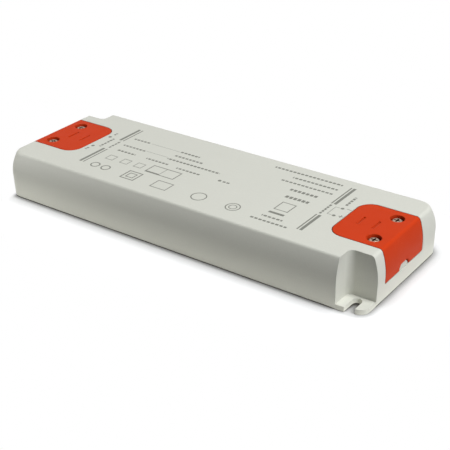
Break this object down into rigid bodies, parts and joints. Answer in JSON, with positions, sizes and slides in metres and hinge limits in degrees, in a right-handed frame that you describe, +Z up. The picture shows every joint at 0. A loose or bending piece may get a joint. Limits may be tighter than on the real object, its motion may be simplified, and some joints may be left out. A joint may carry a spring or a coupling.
{
  "type": "led driver",
  "caption": "Slim plastic-cased LED driver with bowed sides, slotted ears in diagonal corner notches and screwed wire covers at the ends.",
  "frame": {"origin": "middle of the underside, on the plane that the driver is fixed to", "axes": "+X along the case towards the lamp (output) end, +Y across it, +Z up out of the mounting surface"},
  "size_m": [0.18, 0.061, 0.0207],
  "materials": {
    "case_plastic": "fine satin texture, pale warm grey",
    "cover_plastic": "satin, orange red",
    "zinc_steel": "bright zinc plated",
    "board_laminate": "paper laminate, tan",
    "terminal_plastic": "green moulding",
    "brass": "plated brass",
    "brown_plastic": "brown moulding",
    "dark_epoxy": "black moulding compound",
    "blue_epoxy": "dipped, blue",
    "green_epoxy": "dipped, dark green",
    "yellow_plastic": "yellow box",
    "ferrite": "sintered, dark grey",
    "copper_wire": "enamelled copper wire",
    "black_sleeve": "shrink sleeve, black",
    "aluminium": "mill finish",
    "winding_tape": "yellow polyester tape",
    "ceramic_blue": "dipped ceramic disc",
    "resistor_coat": "lacquered ceramic"
  },
  "bodies": {
    "root": {"base_plate": "case_plastic", "bridge_rectifier": "dark_epoxy", "bulk_capacitor": "black_sleeve", "circuit_board": "board_laminate", "control_chip": "dark_epoxy", "fuse": "brown_plastic", "housing": "case_plastic", "input_clamp_back": "brass", "input_clamp_front": "brass", "input_clamp_screw_back": "zinc_steel", "input_clamp_screw_front": "zinc_steel", "input_cover_screw_back": "zinc_steel", "input_cover_screw_front": "zinc_steel", "input_terminal_block": "terminal_plastic", "input_terminal_cover": "cover_plastic", "inrush_thermistor": "green_epoxy", "interference_capacitor": "yellow_plastic", "mains_choke_core": "ferrite", "mains_choke_winding_back": "copper_wire", "mains_choke_winding_front": "copper_wire", "optocoupler": "dark_epoxy", "output_capacitor_1": "black_sleeve", "output_capacitor_2": "black_sleeve", "output_choke_core": "ferrite", "output_choke_winding": "copper_wire", "output_clamp_back": "brass", "output_clamp_front": "brass", "output_clamp_screw_back": "zinc_steel", "output_clamp_screw_front": "zinc_steel", "output_cover_screw_back": "zinc_steel", "output_cover_screw_front": "zinc_steel", "output_diode": "dark_epoxy", "output_heatsink": "aluminium", "output_heatsink_screw": "zinc_steel", "output_terminal_block": "terminal_plastic", "output_terminal_cover": "cover_plastic", "primary_heatsink": "aluminium", "primary_heatsink_screw": "zinc_steel", "primary_transistor": "dark_epoxy", "safety_capacitor": "ceramic_blue", "snubber_resistor": "resistor_coat", "supply_capacitor": "black_sleeve", "transformer_bobbin": "dark_epoxy", "transformer_core_lamp": "ferrite", "transformer_core_mains": "ferrite", "transformer_winding": "winding_tape", "varistor": "blue_epoxy", "voltage_reference": "dark_epoxy"}
  },
  "joints": []
}
